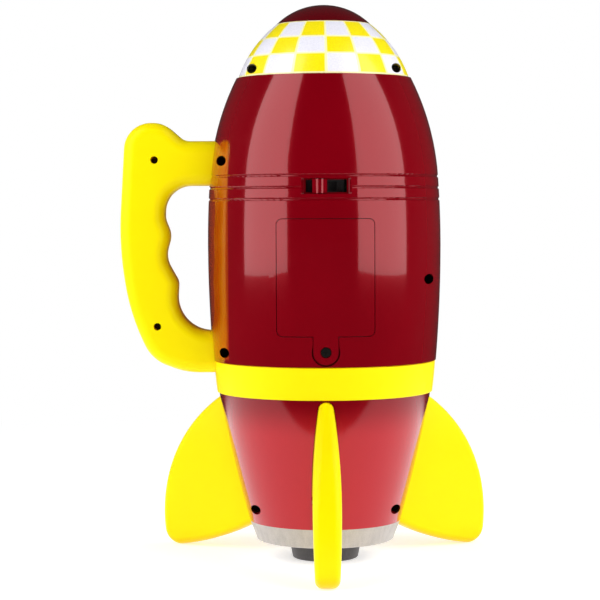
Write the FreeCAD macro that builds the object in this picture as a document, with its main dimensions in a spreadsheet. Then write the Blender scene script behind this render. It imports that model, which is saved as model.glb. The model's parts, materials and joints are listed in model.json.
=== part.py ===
import FreeCAD, Part
import math
import operator
import os

import Sketcher
from FreeCAD import Placement, Rotation, Vector

# Toy space rocket: a moulded body with three fins, a carry handle and battery powered sounds.
# Origin: centre of the nozzle's flat underside. +Z runs up the rocket, -Y is the battery door side,
# and the handle is on the -X side. Radii are taken from the rocket's axis. Millimetres.

SIZES = [
    # Rocket profile, from the ground up: radius and height of each station
    ("wall", 2.2), ("play", 0.1), ("slot_gap", 0.35),
    # How far cutting tools run: from inside the walls, past them, and past a face
    ("inside_wall", 55), ("past_wall", 80), ("overrun", 1.0),
    ("nozzle_low_radius", 18.5), ("nozzle_top_radius", 20.4), ("ring_low_radius", 38.7),
    ("ring_low_height", 10.8), ("ring_top_radius", 42.3),
    ("tail_low_radius", 42.4), ("tail_low_height", 21.7), ("tail_top_radius", 59.1), ("tail_bow", 900),
    ("belt_low_height", 93.7), ("belt_seat_radius", 58.6), ("belt_low_radius", 60.2),
    ("belt_top_radius", 61.8), ("belt_bow", 220),
    ("body_low_radius", 62.3), ("body_low_height", 111.7), ("low_bow", 803),
    ("body_wide_radius", 65.0), ("body_wide_height", 175.6), ("middle_bow", 534),
    ("body_high_radius", 63.6), ("body_high_height", 214.2), ("high_bow", 142.6),
    ("body_top_radius", 48.7), ("body_top_height", 268.3),
    ("nose_low_radius", 47.6), ("nose_bow", 64.5), ("nose_top_radius", 26.2),
    ("nose_top_height", 298.2), ("tip_height", 309.0),
    # Lips and flanges that lock the stacked mouldings together
    ("low_lip_radius", 38.2), ("low_lip_thick", 2.5), ("top_lip_radius", 46.6), ("top_lip_thick", 3.0),
    ("nose_flange_radius", 47.5), ("nose_lip_radius", 23.8), ("nose_lip_thick", 2.6),
    ("cap_flange_radius", 25.4), ("ring_flange_radius", 39.8), ("nozzle_hole_radius", 17.4),
    # Three ring grooves round the body
    ("groove_top_height", 213.8), ("groove_pitch", 6.35), ("groove_radius", 0.9),
    # Case screws and their tubes
    ("bore_radius", 2.8), ("tube_radius", 3.9), ("tube_floor", 2.2), ("shank_hole_radius", 1.6),
    ("head_radius", 2.6), ("head_height", 1.9), ("shank_radius", 1.45), ("pilot_radius", 1.5),
    ("shank_reach", 9.5), ("drive_half", 0.3), ("drive_depth", 0.4), ("long_post", 70), ("short_post", 12),
    ("small_head_radius", 1.9), ("small_head_height", 1.2), ("small_shank_radius", 1.0),
    ("small_shank_reach", 5.0), ("small_pilot_radius", 1.05), ("small_hole_radius", 1.15),
    ("small_boss_radius", 3.1), ("small_boss_reach", 30),
    ("handle_screw_high_across", -56.4), ("handle_screw_high_up", 222.2),
    ("handle_screw_low_across", -55.1), ("handle_screw_low_up", 117.4),
    ("side_screw_across", 56.6), ("side_screw_up", 157.4),
    ("tail_screw_across", 38.6), ("tail_screw_up", 30.0),
    ("nose_screw_across", 39.5), ("nose_screw_up", 272.6),
    # Fins
    ("fin_top_height", 93.2), ("fin_bow", 85), ("fin_shoulder_radius", 110.4),
    ("fin_shoulder_height", 65.0), ("fin_toe_radius", 104.5), ("fin_toe_height", -1.4),
    ("fin_toe_bow", 10), ("fin_keel_radius", 72), ("fin_keel_height", 3.5), ("fin_keel_bow", 146),
    ("fin_heel_radius", 42.8), ("fin_heel_height", 17.3), ("fin_low_half", 6.3), ("fin_half", 7.45),
    ("fin_half_height", 42), ("fin_crown_half", 4.0), ("fin_crown_height", 89.4), ("fin_edge", 4.0),
    ("fin_low_bow", 804), ("fin_high_bow", 329),
    ("fin_slot_low", 36.0), ("fin_wall", 2.4), ("fin_mouth_low", 46), ("fin_mouth_high", 80),
    ("fin_mouth_half", 3.6), ("fin_mouth_reach", 18), ("root_plate_half", 10), ("root_plate_thick", 2.0),
    ("root_plate_low", 40), ("root_plate_high", 88),
    # Handle
    ("arm_end", -60.4), ("arm_top_height", 233.7), ("arm_under_height", 208.9),
    ("low_arm_top_height", 128.0), ("low_arm_under_height", 104.9), ("handle_half", 12.0),
    ("handle_edge", 6.5), ("handle_skin", 3.5), ("strap_half", 3.0), ("strap_thick", 8.0),
    ("strap_low_height", 112.2), ("grip_screw_high_across", -94.0), ("grip_screw_high_up", 223.2),
    ("grip_screw_low_across", -92.9), ("grip_screw_low_up", 130.8), ("grip_bore_radius", 2.1),
    ("grip_floor", 4.0),
    # Battery door, tray and cells
    ("door_half", 26.0), ("door_low_height", 128.2), ("door_top_height", 190.5), ("door_corner", 3.0),
    ("tongue_half", 6.7), ("door_screw_up", 119.7), ("notch_radius", 7.6), ("shelf_half", 16),
    ("shelf_depth", 59.4), ("shelf_thick", 2.4), ("door_screw_floor", 60.7), ("door_head_height", 1.6),
    ("door_post_radius", 3.6), ("door_shank_reach", 8.0),
    ("tray_half", 28.0), ("tray_low_height", 126.4), ("tray_top_height", 192.4), ("tray_side", 1.6),
    ("tray_end", 4.0), ("tray_floor_depth", 42.6), ("ear_reach", 37.0), ("ear_screw_across", 33.0),
    ("ear_screw_up", 159.0), ("ear_half", 5.0), ("ear_depth", 44.9),
    ("cell_radius", 7.25), ("cell_length", 50.5), ("cell_nub_radius", 2.75), ("cell_nub_height", 1.2),
    ("cell_pitch", 15.2), ("cell_depth", 50.0), ("contact_thick", 0.4), ("coil_radius", 3.4),
    ("wire_radius", 0.4),
    # Switch
    ("recess_left", -14.0), ("recess_right", 15.0), ("recess_low_height", 203.8),
    ("recess_top_height", 212.2), ("recess_slope", 2.6), ("recess_floor", 60.2), ("recess_back", 58.4),
    ("recess_mouth", 64.6), ("knob_width", 7.8), ("knob_height", 7.6), ("knob_rest", -3.0),
    ("knob_face", 62.9), ("stem_width", 5.6), ("stem_height", 5.2),
    ("board_depth", 48.0), ("board_thick", 1.6), ("board_half", 29.0), ("board_low_height", 196.0),
    ("board_top_height", 228.0), ("board_screw_across", 25.0), ("board_screw_inset", 4.0),
    ("switch_half", 10.0), ("switch_depth", 53.5),
    # Sound button on the front
    ("button_up", 150.0), ("button_radius", 15.0), ("button_face", 66.4), ("button_flange_radius", 16.9),
    ("button_flange_front", 59.8), ("button_flange_thick", 1.8), ("guide_radius", 17.2),
    ("guide_wall", 1.6), ("button_board_depth", 50.0), ("button_board_half", 26.5),
    ("button_board_height", 14.0), ("button_screw_across", 23.0),
    ("tact_width", 6.0), ("tact_height", 3.5), ("tact_stem_radius", 1.7), ("tact_stem_height", 0.9),
    # Speaker behind the front grille
    ("speaker_up", 198.0), ("speaker_radius", 20.0), ("speaker_seat", 57.0), ("speaker_rim", 1.6),
    ("magnet_radius", 11.0), ("magnet_front", 47.0), ("magnet_back", 41.0), ("clamp_screw_reach", 25.4),
    ("clamp_radius", 23.0), ("grille_hole_radius", 1.2), ("grille_pitch", 4.4),
]

BACK, FRONT = -1, 1
UPRIGHT = Rotation(Vector(1, 0, 0), 90)          # a sketch plane with x across and y up
SIDEWAYS = Rotation(Vector(1, 1, 1), 120)        # a sketch plane facing +X, with x along +Y and y up
AIM = {
    "up": Rotation(),
    "front": Rotation(Vector(1, 0, 0), -90),
    "back": Rotation(Vector(1, 0, 0), 90),
    "right": Rotation(Vector(0, 1, 0), 90),
}
HELIX_SEGMENT_TURNS = 0.5                        # short pieces keep a spring's faces simple
OPERATIONS = {"+": operator.add, "-": operator.sub, "*": operator.mul, "/": operator.truediv}


class Size:
    """A length with its value and the spreadsheet expression that it comes from."""

    def __init__(self, value, text):
        self.value = float(value)
        self.text = text

    def __add__(self, other):
        return combine(self, "+", other)

    def __radd__(self, other):
        return combine(other, "+", self)

    def __sub__(self, other):
        return combine(self, "-", other)

    def __rsub__(self, other):
        return combine(other, "-", self)

    def __mul__(self, other):
        return combine(self, "*", other)

    def __rmul__(self, other):
        return combine(other, "*", self)

    def __truediv__(self, other):
        return combine(self, "/", other)

    def __neg__(self):
        return combine(0, "-", self)


def as_size(value):
    if isinstance(value, Size):
        return value
    return Size(value, f"({value})")


def combine(left, sign, right):
    left = as_size(left)
    right = as_size(right)
    return Size(OPERATIONS[sign](left.value, right.value), f"({left.text} {sign} {right.text})")


ZERO = Size(0, "0")


def root(size):
    return Size(math.sqrt(size.value), f"sqrt({size.text})")


class Dimensions:
    """The driving sizes: one spreadsheet row each, read here by alias."""

    def __init__(self, document):
        sheet = document.addObject("Spreadsheet::Sheet", "dims")
        for row, (alias, value) in enumerate(SIZES, start=1):
            sheet.set(f"A{row}", alias)
            sheet.set(f"B{row}", str(value))
            sheet.setAlias(f"B{row}", alias)
        self.values = dict(SIZES)

    def __getattr__(self, alias):
        return Size(self.values[alias], f"dims.{alias}")


doc = FreeCAD.newDocument("space_rocket")
dim = Dimensions(doc)
doc.recompute()
nodes = []


# Building blocks

def bind(item, **sizes):
    for name, size in sizes.items():
        size = as_size(size)
        setattr(item, name, size.value)
        item.setExpression(name, size.text)
    return item


def place(item, spot, rotation=Rotation()):
    spot = [as_size(value) for value in spot]
    item.Placement = Placement(Vector(*[size.value for size in spot]), rotation)
    for axis, size in zip("xyz", spot):
        item.setExpression(f"Placement.Base.{axis}", size.text)
    return item


def publish(item, label):
    item.Label = label
    nodes.append(item)
    return item


def box(name, low, high):
    item = doc.addObject("Part::Box", name)
    bind(item, Length=high[0] - as_size(low[0]), Width=high[1] - as_size(low[1]),
         Height=high[2] - as_size(low[2]))
    return place(item, low)


def rod(name, base, aim, radius, length):
    item = doc.addObject("Part::Cylinder", name)
    bind(item, Radius=radius, Height=length)
    return place(item, base, AIM[aim])


def fuse(name, parts):
    if len(parts) == 1:
        return parts[0]
    item = doc.addObject("Part::MultiFuse", name)
    item.Shapes = parts
    return item


def cut(name, base, tools):
    item = doc.addObject("Part::Cut", name)
    item.Base = base
    item.Tool = fuse(name + "_tools", tools)
    return item


def common(name, base, tool):
    item = doc.addObject("Part::Common", name)
    item.Base = base
    item.Tool = tool
    return item


def group(name, parts):
    item = doc.addObject("Part::Compound", name)
    item.Links = parts
    return item


def extrude(name, sketch, direction, length):
    item = doc.addObject("Part::Extrusion", name)
    item.Base = sketch
    item.DirMode = "Custom"
    item.Dir = direction
    item.Solid = True
    return bind(item, LengthFwd=length)


def revolve(name, sketch, angle=360):
    item = doc.addObject("Part::Revolution", name)
    item.Source = sketch
    item.Axis = Vector(0, 0, 1)
    item.Angle = angle
    item.Solid = True
    return item


def round_edges(name, base, radius, chosen):
    """Fillet on the edges that the test picks."""
    doc.recompute()
    item = doc.addObject("Part::Fillet", name)
    item.Base = base
    edges = enumerate(base.Shape.Edges, start=1)
    item.Edges = [(index, radius.value, radius.value) for index, edge in edges if chosen(edge)]
    return item


def middle(edge):
    return edge.valueAt((edge.FirstParameter + edge.LastParameter) / 2)


# Sketches

def free_sketch(name, spot=(0, 0, 0), rotation=UPRIGHT):
    return place(doc.addObject("Sketcher::SketchObject", name), spot, rotation)


def body_sketch(body, name, role):
    plane = [item for item in body.Origin.OriginFeatures if item.Role == role][0]
    sketch = body.newObject("Sketcher::SketchObject", name)
    sketch.AttachmentSupport = (plane, [""])
    sketch.MapMode = "FlatFace"
    return sketch


def bow(start, finish, radius):
    """Arc that bulges to the right of the way from start to finish, or left of it if negative."""
    if radius < 0:
        return bow(finish, start, -radius)
    chord = finish - start
    left = Vector(-chord.y, chord.x, 0).normalize()
    centre = (start + finish) * 0.5 + left * math.sqrt(max(radius ** 2 - chord.Length ** 2 / 4, 0))
    return arc_between(centre, start, finish, radius)


def arc_between(centre, start, finish, radius):
    first = math.atan2(start.y - centre.y, start.x - centre.x)
    last = math.atan2(finish.y - centre.y, finish.x - centre.x)
    if last < first:
        last += 2 * math.pi
    return Part.ArcOfCircle(Part.Circle(centre, Vector(0, 0, 1), radius), first, last)


def constrain(sketch, kind, *details):
    """Adds a constraint; a Size at the end becomes its bound value."""
    if not isinstance(details[-1], Size):
        return sketch.addConstraint(Sketcher.Constraint(kind, *details))
    size = details[-1]
    index = sketch.addConstraint(Sketcher.Constraint(kind, *details[:-1], size.value))
    sketch.setExpression(f"Constraints[{index}]", size.text)
    return index


def pin_point(sketch, geometry, end, across, up):
    for kind, axis, size in (("DistanceX", -2, as_size(across)), ("DistanceY", -1, as_size(up))):
        if size.value == 0:
            constrain(sketch, "PointOnObject", geometry, end, axis)
        else:
            constrain(sketch, kind, -1, 1, geometry, end, size)


def draw(sketch, points):
    """Closed counterclockwise outline. A point is (x, y) or (x, y, bow radius of the side after it)."""
    spots = [Vector(as_size(point[0]).value, as_size(point[1]).value, 0) for point in points]
    ends = []
    for index, point in enumerate(points):
        start, finish = spots[index], spots[(index + 1) % len(spots)]
        ends.append((1, 2))
        if len(point) == 2:
            sketch.addGeometry(Part.LineSegment(start, finish), False)
            continue
        radius = as_size(point[2])
        sketch.addGeometry(bow(start, finish, radius.value), False)
        if radius.value < 0:
            ends[index] = (2, 1)
            radius = -radius
        constrain(sketch, "Radius", index, radius)
    for index, point in enumerate(points):
        following = (index + 1) % len(points)
        constrain(sketch, "Coincident", index, ends[index][1], following, ends[following][0])
        pin_point(sketch, index, ends[index][0], point[0], point[1])
    return sketch


def draw_rounded(sketch, corners):
    """Closed outline of straight sides. A corner is (x, y) or (x, y, rounding radius)."""
    spots = [Vector(as_size(corner[0]).value, as_size(corner[1]).value, 0) for corner in corners]
    count = len(corners)
    sides = []
    for index in range(count):
        sides.append([spots[index], spots[(index + 1) % count]])
    arcs = {}
    for index, corner in enumerate(corners):
        if len(corner) == 3:
            before = (spots[index - 1] - spots[index]).normalize()
            after = (spots[(index + 1) % count] - spots[index]).normalize()
            radius = as_size(corner[2]).value
            reach = radius / math.tan(before.getAngle(after) / 2)
            entry, leave = spots[index] + before * reach, spots[index] + after * reach
            sides[index - 1][1] = entry
            sides[index][0] = leave
            turn = before.cross(after).z
            centre = spots[index] + (before + after).normalize() * math.hypot(radius, reach)
            ends = (entry, leave) if turn < 0 else (leave, entry)
            arcs[index] = (arc_between(centre, *ends, radius), turn < 0)
    for side in sides:
        sketch.addGeometry(Part.LineSegment(*side), False)
    for index, corner in enumerate(corners):
        previous = (index - 1) % count
        if index not in arcs:
            constrain(sketch, "Coincident", previous, 2, index, 1)
            pin_point(sketch, index, 1, corner[0], corner[1])
            continue
        arc, forward = arcs[index]
        curve = sketch.addGeometry(arc, False)
        point = sketch.addGeometry(Part.Point(spots[index]), True)
        constrain(sketch, "Radius", curve, as_size(corner[2]))
        constrain(sketch, "Tangent", previous, 2, curve, 1 if forward else 2)
        constrain(sketch, "Tangent", index, 1, curve, 2 if forward else 1)
        constrain(sketch, "PointOnObject", point, 1, previous)
        constrain(sketch, "PointOnObject", point, 1, index)
        pin_point(sketch, point, 1, corner[0], corner[1])
    return sketch


def turned(label, points, spot=(0, 0, 0), aim="up"):
    """PartDesign body made by turning an outline about its own axis."""
    body = doc.addObject("PartDesign::Body", label)
    sketch = draw(body_sketch(body, label + "_profile", "XZ_Plane"), points)
    feature = body.newObject("PartDesign::Revolution", label + "_turn")
    feature.Profile = sketch
    feature.ReferenceAxis = (sketch, ["V_Axis"])
    feature.Angle = 360
    return place(body, spot, AIM[aim])


def padded(label, points, thick, holes=(), spot=(0, 0, 0)):
    """PartDesign body: a plate that stands upright and grows towards -Y, with round holes."""
    body = doc.addObject("PartDesign::Body", label)
    sketch = draw(body_sketch(body, label + "_outline", "XZ_Plane"), points)
    pad = body.newObject("PartDesign::Pad", label + "_pad")
    pad.Profile = sketch
    bind(pad, Length=thick)
    if holes:
        drill = body_sketch(body, label + "_holes", "XZ_Plane")
        for across, up, radius in holes:
            place_hole(drill, across, up, radius)
        pocket = body.newObject("PartDesign::Pocket", label + "_drill")
        pocket.Profile = drill
        pocket.Type = "ThroughAll"
        pocket.Midplane = True
    return place(body, spot)


def place_hole(sketch, across, up, radius):
    centre = Vector(as_size(across).value, as_size(up).value, 0)
    hole = sketch.addGeometry(Part.Circle(centre, Vector(0, 0, 1), radius.value), False)
    constrain(sketch, "Radius", hole, radius)
    pin_point(sketch, hole, 3, across, up)


def rectangle(left, low, right, top):
    return [(left, low), (right, low), (right, top), (left, top)]


# Rocket profile

def outer_profile(name):
    return draw(free_sketch(name), [
        (0, dim.tail_low_height),
        (dim.tail_low_radius, dim.tail_low_height, dim.tail_bow),
        (dim.tail_top_radius, dim.belt_low_height),
        (dim.belt_seat_radius, dim.belt_low_height),
        (dim.belt_seat_radius, dim.body_low_height),
        (dim.body_low_radius, dim.body_low_height, dim.low_bow),
        (dim.body_wide_radius, dim.body_wide_height, dim.middle_bow),
        (dim.body_high_radius, dim.body_high_height, dim.high_bow),
        (dim.body_top_radius, dim.body_top_height),
        (0, dim.body_top_height),
    ])


def inner_profile(name, wall):
    """The cavity that a wall of this thickness leaves, past both of its open ends."""
    lip_top = dim.tail_low_height + dim.low_lip_thick
    lip_under = dim.body_top_height - dim.top_lip_thick
    return draw(free_sketch(name), [
        (0, dim.tail_low_height - 1),
        (dim.low_lip_radius, dim.tail_low_height - 1),
        (dim.low_lip_radius, lip_top),
        (dim.tail_low_radius - wall, lip_top),
        (dim.belt_seat_radius - wall, dim.belt_low_height - wall),
        (dim.belt_seat_radius - wall, dim.body_low_height + wall),
        (dim.body_low_radius - wall, dim.body_low_height + wall, dim.low_bow),
        (dim.body_wide_radius - wall, dim.body_wide_height, dim.middle_bow),
        (dim.body_high_radius - wall, dim.body_high_height, dim.high_bow - wall),
        (dim.body_top_radius + 1.4 - wall, lip_under),
        (dim.top_lip_radius, lip_under),
        (dim.top_lip_radius, dim.body_top_height + 1),
        (0, dim.body_top_height + 1),
    ])


def groove_rings(prefix):
    """Three half-round grooves, centred on the arc that the body follows above its widest place."""
    rings = []
    for index in range(3):
        height = dim.groove_top_height - dim.groove_pitch * index
        rise = height - dim.body_wide_height
        radius = dim.body_wide_radius - dim.middle_bow + root(dim.middle_bow * dim.middle_bow - rise * rise)
        ring = doc.addObject("Part::Torus", f"{prefix}_groove_{index + 1}")
        bind(ring, Radius1=radius + dim.groove_radius / 3, Radius2=dim.groove_radius)
        rings.append(place(ring, (0, 0, height)))
    return rings


# Screws between the two halves: (across, up, half thickness of what they clamp, front post length)

def shell_screw_places():
    return [
        (dim.handle_screw_high_across, dim.handle_screw_high_up, dim.strap_half, dim.long_post),
        (dim.handle_screw_low_across, dim.handle_screw_low_up, dim.strap_half, dim.long_post),
        (dim.side_screw_across, dim.side_screw_up, ZERO, dim.long_post),
        (-dim.tail_screw_across, dim.tail_screw_up, ZERO, dim.short_post),
        (dim.tail_screw_across, dim.tail_screw_up, ZERO, dim.short_post),
    ]


def nose_screw_places():
    return [(side * dim.nose_screw_across, dim.nose_screw_up, ZERO, dim.long_post) for side in (-1, 1)]


def screw_tubes(prefix, places, side):
    """Solid posts from the split plane out past the wall; the caller trims them to the shell."""
    posts = []
    for index, (across, up, clamped, front_length) in enumerate(places):
        aim = "front" if side == FRONT else "back"
        base = (across, side * (clamped + dim.play / 2), up)
        length = front_length if side == FRONT else dim.long_post
        posts.append(rod(f"{prefix}_post_{index + 1}", base, aim, dim.tube_radius, length))
    return posts


def screw_bores(prefix, places, side):
    """Back: a wide bore down to the floor and a shank hole. Front: a blind pilot hole."""
    tools = []
    for index, (across, up, clamped, _) in enumerate(places):
        name = f"{prefix}_bore_{index + 1}"
        start = side * (clamped - dim.overrun)
        if side == FRONT:
            tools.append(rod(name, (across, start, up), "front", dim.pilot_radius,
                             dim.shank_reach + dim.overrun * 1.5))
            continue
        floor = -(clamped + dim.play / 2 + dim.tube_floor)
        tools.append(rod(name, (across, floor, up), "back", dim.bore_radius, dim.past_wall))
        tools.append(rod(name + "_shank", (across, start, up), "back", dim.shank_hole_radius, 8))
    return tools


def screw(name, across, up, seat, aim, sizes):
    """Pan head and plain shank; the head sits on the seat and the shank points the way of aim."""
    head_radius, head_height, shank_radius, reach = sizes
    sign = 1 if aim == "front" else -1
    shank = rod(name + "_shank", (across, seat, up), aim, shank_radius, reach)
    head = rod(name + "_head", (across, seat - sign * head_height, up), aim, head_radius, head_height)
    face, half, depth = seat - sign * head_height, dim.drive_half, dim.drive_depth
    slot_low = (across - head_radius, face - depth, up - half)
    slot_high = (across + head_radius, face + depth, up + half)
    cross_low = (across - half, face - depth, up - head_radius)
    cross_high = (across + half, face + depth, up + head_radius)
    cross = [box(name + "_slot", slot_low, slot_high), box(name + "_cross", cross_low, cross_high)]
    reach_of_cross = rod(name + "_drive", (across, seat - sign * head_height * 2, up), aim,
                         head_radius * 0.7, head_height * 2)
    drive = common(name + "_recess", fuse(name + "_plus", cross), reach_of_cross)
    return cut(name, fuse(name + "_blank", [shank, head]), [drive])


def case_screws(label, places):
    sizes = (dim.head_radius, dim.head_height, dim.shank_radius, dim.shank_reach)
    screws = []
    for index, (across, up, clamped, _) in enumerate(places):
        seat = -(clamped + dim.play / 2 + dim.tube_floor)
        length = sizes[:3] + (dim.shank_reach + clamped + dim.tube_floor,)
        screws.append(screw(f"{label}_{index + 1}", across, up, seat, "front", length))
    return publish(group(label, screws), label)


def small_screws(label, places, seat, aim, reach=dim.small_shank_reach):
    sizes = (dim.small_head_radius, dim.small_head_height, dim.small_shank_radius, reach)
    screws = []
    for index, (across, up) in enumerate(places):
        screws.append(screw(f"{label}_{index + 1}", across, up, seat, aim, sizes))
    return publish(group(label, screws), label)


def small_bosses(prefix, places, start, aim):
    posts, pilots = [], []
    for index, (across, up) in enumerate(places):
        posts.append(rod(f"{prefix}_boss_{index + 1}", (across, start, up), aim,
                         dim.small_boss_radius, dim.small_boss_reach))
        pilots.append(rod(f"{prefix}_pilot_{index + 1}", (across, start, up), aim,
                          dim.small_pilot_radius, dim.small_shank_reach + dim.play * 2))
    return posts, pilots


# Openings in the shells

def arm_pocket(name, low, high, inner):
    """Rounded hole in the wall that an arm of the handle fits into."""
    gap = dim.play * 3
    block = box(name + "_block", (inner - 20, -(dim.handle_half + gap), low - gap),
                (inner, dim.handle_half + gap, high + gap))
    return round_edges(name, block, dim.handle_edge, lambda edge: abs(edge.tangentAt(0).x) > 0.9)


def handle_openings(prefix):
    gap = dim.play
    strap = box(prefix + "_strap_slot",
                (dim.arm_end - gap, -(dim.strap_half + gap), dim.strap_low_height - gap * 2),
                (dim.arm_end + dim.strap_thick + gap, dim.strap_half + gap, dim.arm_top_height + gap * 2))
    high = arm_pocket(prefix + "_high_pocket", dim.arm_under_height, dim.arm_top_height, dim.arm_end + 4.4)
    low = arm_pocket(prefix + "_low_pocket", dim.low_arm_under_height, dim.low_arm_top_height,
                     -dim.belt_seat_radius - 0.05)
    return [strap, high, low]


def fin_section(name, low, low_half, grow):
    """Lens-shaped section of a fin, seen from its outer edge, wider by grow on both sides."""
    half = dim.fin_half + grow
    crown = dim.fin_crown_half + grow
    low_bow, high_bow = dim.fin_low_bow, dim.fin_high_bow + grow
    return draw(free_sketch(name, (30, 0, 0), SIDEWAYS), [
        (-low_half, low),
        (low_half, low, low_bow),
        (half, dim.fin_half_height, high_bow),
        (crown, dim.fin_crown_height, crown + 0.05),
        (-crown, dim.fin_crown_height, high_bow),
        (-half, dim.fin_half_height, low_bow),
    ])


def fin_slot(name, angle):
    section = fin_section(name + "_section", dim.fin_slot_low, dim.fin_half + dim.slot_gap - 0.05,
                          dim.slot_gap)
    slot = extrude(name, section, Vector(1, 0, 0), 60)
    slot.Placement = Placement(Vector(), Rotation(Vector(0, 0, 1), angle))
    return slot


def door_outline(name, grow):
    """Rounded rectangle of the battery door, on a plane at the rocket's axis."""
    side, corner = dim.door_half + grow, dim.door_corner + grow
    low, top = dim.door_low_height - grow, dim.door_top_height + grow
    return draw_rounded(free_sketch(name), [
        (-side, low, corner), (side, low, corner), (side, top, corner), (-side, top, corner)])


def recess_prism(name):
    """Switch recess with sloped ends."""
    slope = dim.recess_slope
    sketch = draw(free_sketch(name + "_section", (0, 0, dim.recess_low_height), Rotation()), [
        (dim.recess_left, -(dim.recess_mouth + 4)),
        (dim.recess_right, -(dim.recess_mouth + 4)),
        (dim.recess_right, -dim.recess_mouth),
        (dim.recess_right - slope, -dim.recess_floor),
        (dim.recess_left + slope, -dim.recess_floor),
        (dim.recess_left, -dim.recess_mouth),
    ])
    return extrude(name, sketch, Vector(0, 0, 1), dim.recess_top_height - dim.recess_low_height)


# Rocket body: two mouldings, each with tail, belt seat and body in one piece

def tray_screw_places():
    return [(side * dim.ear_screw_across, dim.ear_screw_up) for side in (-1, 1)]


def board_screw_places():
    heights = (dim.board_low_height + dim.board_screw_inset, dim.board_top_height - dim.board_screw_inset)
    return [(side * dim.board_screw_across, height) for side in (-1, 1) for height in heights]


def button_screw_places():
    return [(side * dim.button_screw_across, dim.button_up) for side in (-1, 1)]


def clamp_screw_places():
    return [(0, dim.speaker_up + side * dim.clamp_screw_reach) for side in (-1, 1)]


def shell_half(label, side, openings, inner_parts, drills):
    """Wall with its openings, then inner posts trimmed to the outline, then holes and grooves."""
    outer = revolve(label + "_outer", outer_profile(label + "_outer_profile"), side * 180)
    cavity = revolve(label + "_cavity", inner_profile(label + "_inner_profile", dim.wall))
    wall = cut(label + "_wall", outer, [cavity] + openings)
    inner = common(label + "_inner", fuse(label + "_inner_parts", inner_parts), outer)
    return publish(cut(label, fuse(label + "_solid", [wall, inner]), drills + groove_rings(label)), label)


def shell_back():
    label = "shell_back"
    edge = door_outline(label + "_door_edge", dim.slot_gap)
    opening = extrude(label + "_door_hole", edge, Vector(0, -1, 0), dim.past_wall)
    notch_disc = rod(label + "_notch_disc", (0, -dim.inside_wall, dim.door_screw_up), "back",
                     dim.notch_radius, dim.past_wall - dim.inside_wall)
    neck_half = dim.tongue_half + dim.slot_gap
    notch_neck = box(label + "_notch_neck", (-neck_half, -dim.past_wall, dim.door_screw_up),
                     (neck_half, -dim.inside_wall, dim.door_low_height + 2))
    shelf = box(label + "_shelf", (-dim.shelf_half, -dim.shelf_depth, dim.body_low_height + 0.5),
                (dim.shelf_half, dim.shelf_thick - dim.shelf_depth, dim.tray_low_height - 0.5))
    thread_post = rod(label + "_door_post", (0, -dim.shelf_depth, dim.door_screw_up), "front",
                      dim.door_post_radius, dim.shank_reach)
    switch_block = box(label + "_switch_block",
                       (dim.recess_left - 2, -dim.past_wall, dim.recess_low_height - 2),
                       (dim.recess_right + 2, -dim.recess_back, dim.recess_top_height + 2))
    tray_posts, tray_pilots = small_bosses(label + "_tray", tray_screw_places(),
                                           -dim.ear_depth - dim.play / 2, "back")
    board_posts, board_pilots = small_bosses(label + "_board", board_screw_places(),
                                             -dim.board_depth - dim.play / 2, "back")
    tubes = screw_tubes(label, shell_screw_places(), BACK)
    slot_side = dim.recess_slope + 1
    switch_slot = box(label + "_switch_slot",
                      (dim.recess_left + slot_side, -dim.past_wall, dim.recess_low_height + 0.8),
                      (dim.recess_right - slot_side, -dim.inside_wall, dim.recess_top_height - 0.8))
    door_pilot = rod(label + "_door_pilot", (0, -dim.shelf_depth - dim.overrun, dim.door_screw_up), "front",
                     dim.pilot_radius, dim.door_shank_reach + dim.overrun)
    return shell_half(
        label, BACK,
        handle_openings(label) + [fin_slot(label + "_fin_slot", -90), opening, notch_disc, notch_neck],
        [shelf, thread_post, switch_block] + tray_posts + board_posts + tubes,
        [recess_prism(label + "_recess"), switch_slot, door_pilot] + tray_pilots + board_pilots
        + screw_bores(label, shell_screw_places(), BACK))


def ring_post(name, up, outer, inner, start):
    """Round collar that reaches from start out past the front wall."""
    skin = rod(name + "_skin", (0, start, up), "front", outer, 30)
    return cut(name, skin, [rod(name + "_hollow", (0, start - 1, up), "front", inner, 40)])


def grille_holes(prefix):
    holes = [(0, dim.speaker_up)]
    for ring, count in ((1, 6), (2, 12)):
        for step in range(count):
            angle = 2 * math.pi * step / count
            across = dim.grille_pitch * (ring * math.cos(angle))
            up = dim.speaker_up + dim.grille_pitch * (ring * math.sin(angle))
            holes.append((across, up))
    return [rod(f"{prefix}_grille_{index + 1}", (across, 50, up), "front", dim.grille_hole_radius, 30)
            for index, (across, up) in enumerate(holes)]


def shell_front():
    label = "shell_front"
    button_hole = rod(label + "_button_hole", (0, 40, dim.button_up), "front",
                      dim.button_radius + dim.slot_gap, 40)
    guide = ring_post(label + "_guide", dim.button_up, dim.guide_radius + dim.guide_wall,
                      dim.guide_radius, dim.button_board_depth)
    seat = ring_post(label + "_speaker_seat", dim.speaker_up, dim.speaker_radius + 2,
                     dim.speaker_radius + 0.2, dim.speaker_seat - dim.speaker_rim)
    seat_lip = ring_post(label + "_speaker_lip", dim.speaker_up, dim.speaker_radius + 1,
                         dim.speaker_radius - 1.6, dim.speaker_seat)
    button_posts, button_pilots = small_bosses(label + "_button", button_screw_places(),
                                               dim.button_board_depth, "front")
    clamp_posts, clamp_pilots = small_bosses(label + "_clamp", clamp_screw_places(),
                                             dim.speaker_seat - dim.speaker_rim, "front")
    tubes = screw_tubes(label, shell_screw_places(), FRONT)
    return shell_half(
        label, FRONT,
        handle_openings(label) + [fin_slot(label + "_right_slot", 30), fin_slot(label + "_left_slot", 150)],
        [guide, seat, seat_lip] + button_posts + clamp_posts + tubes,
        [button_hole] + grille_holes(label) + button_pilots + clamp_pilots
        + screw_bores(label, shell_screw_places(), FRONT))


# Belt, nose, tail ring and nozzle

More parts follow.
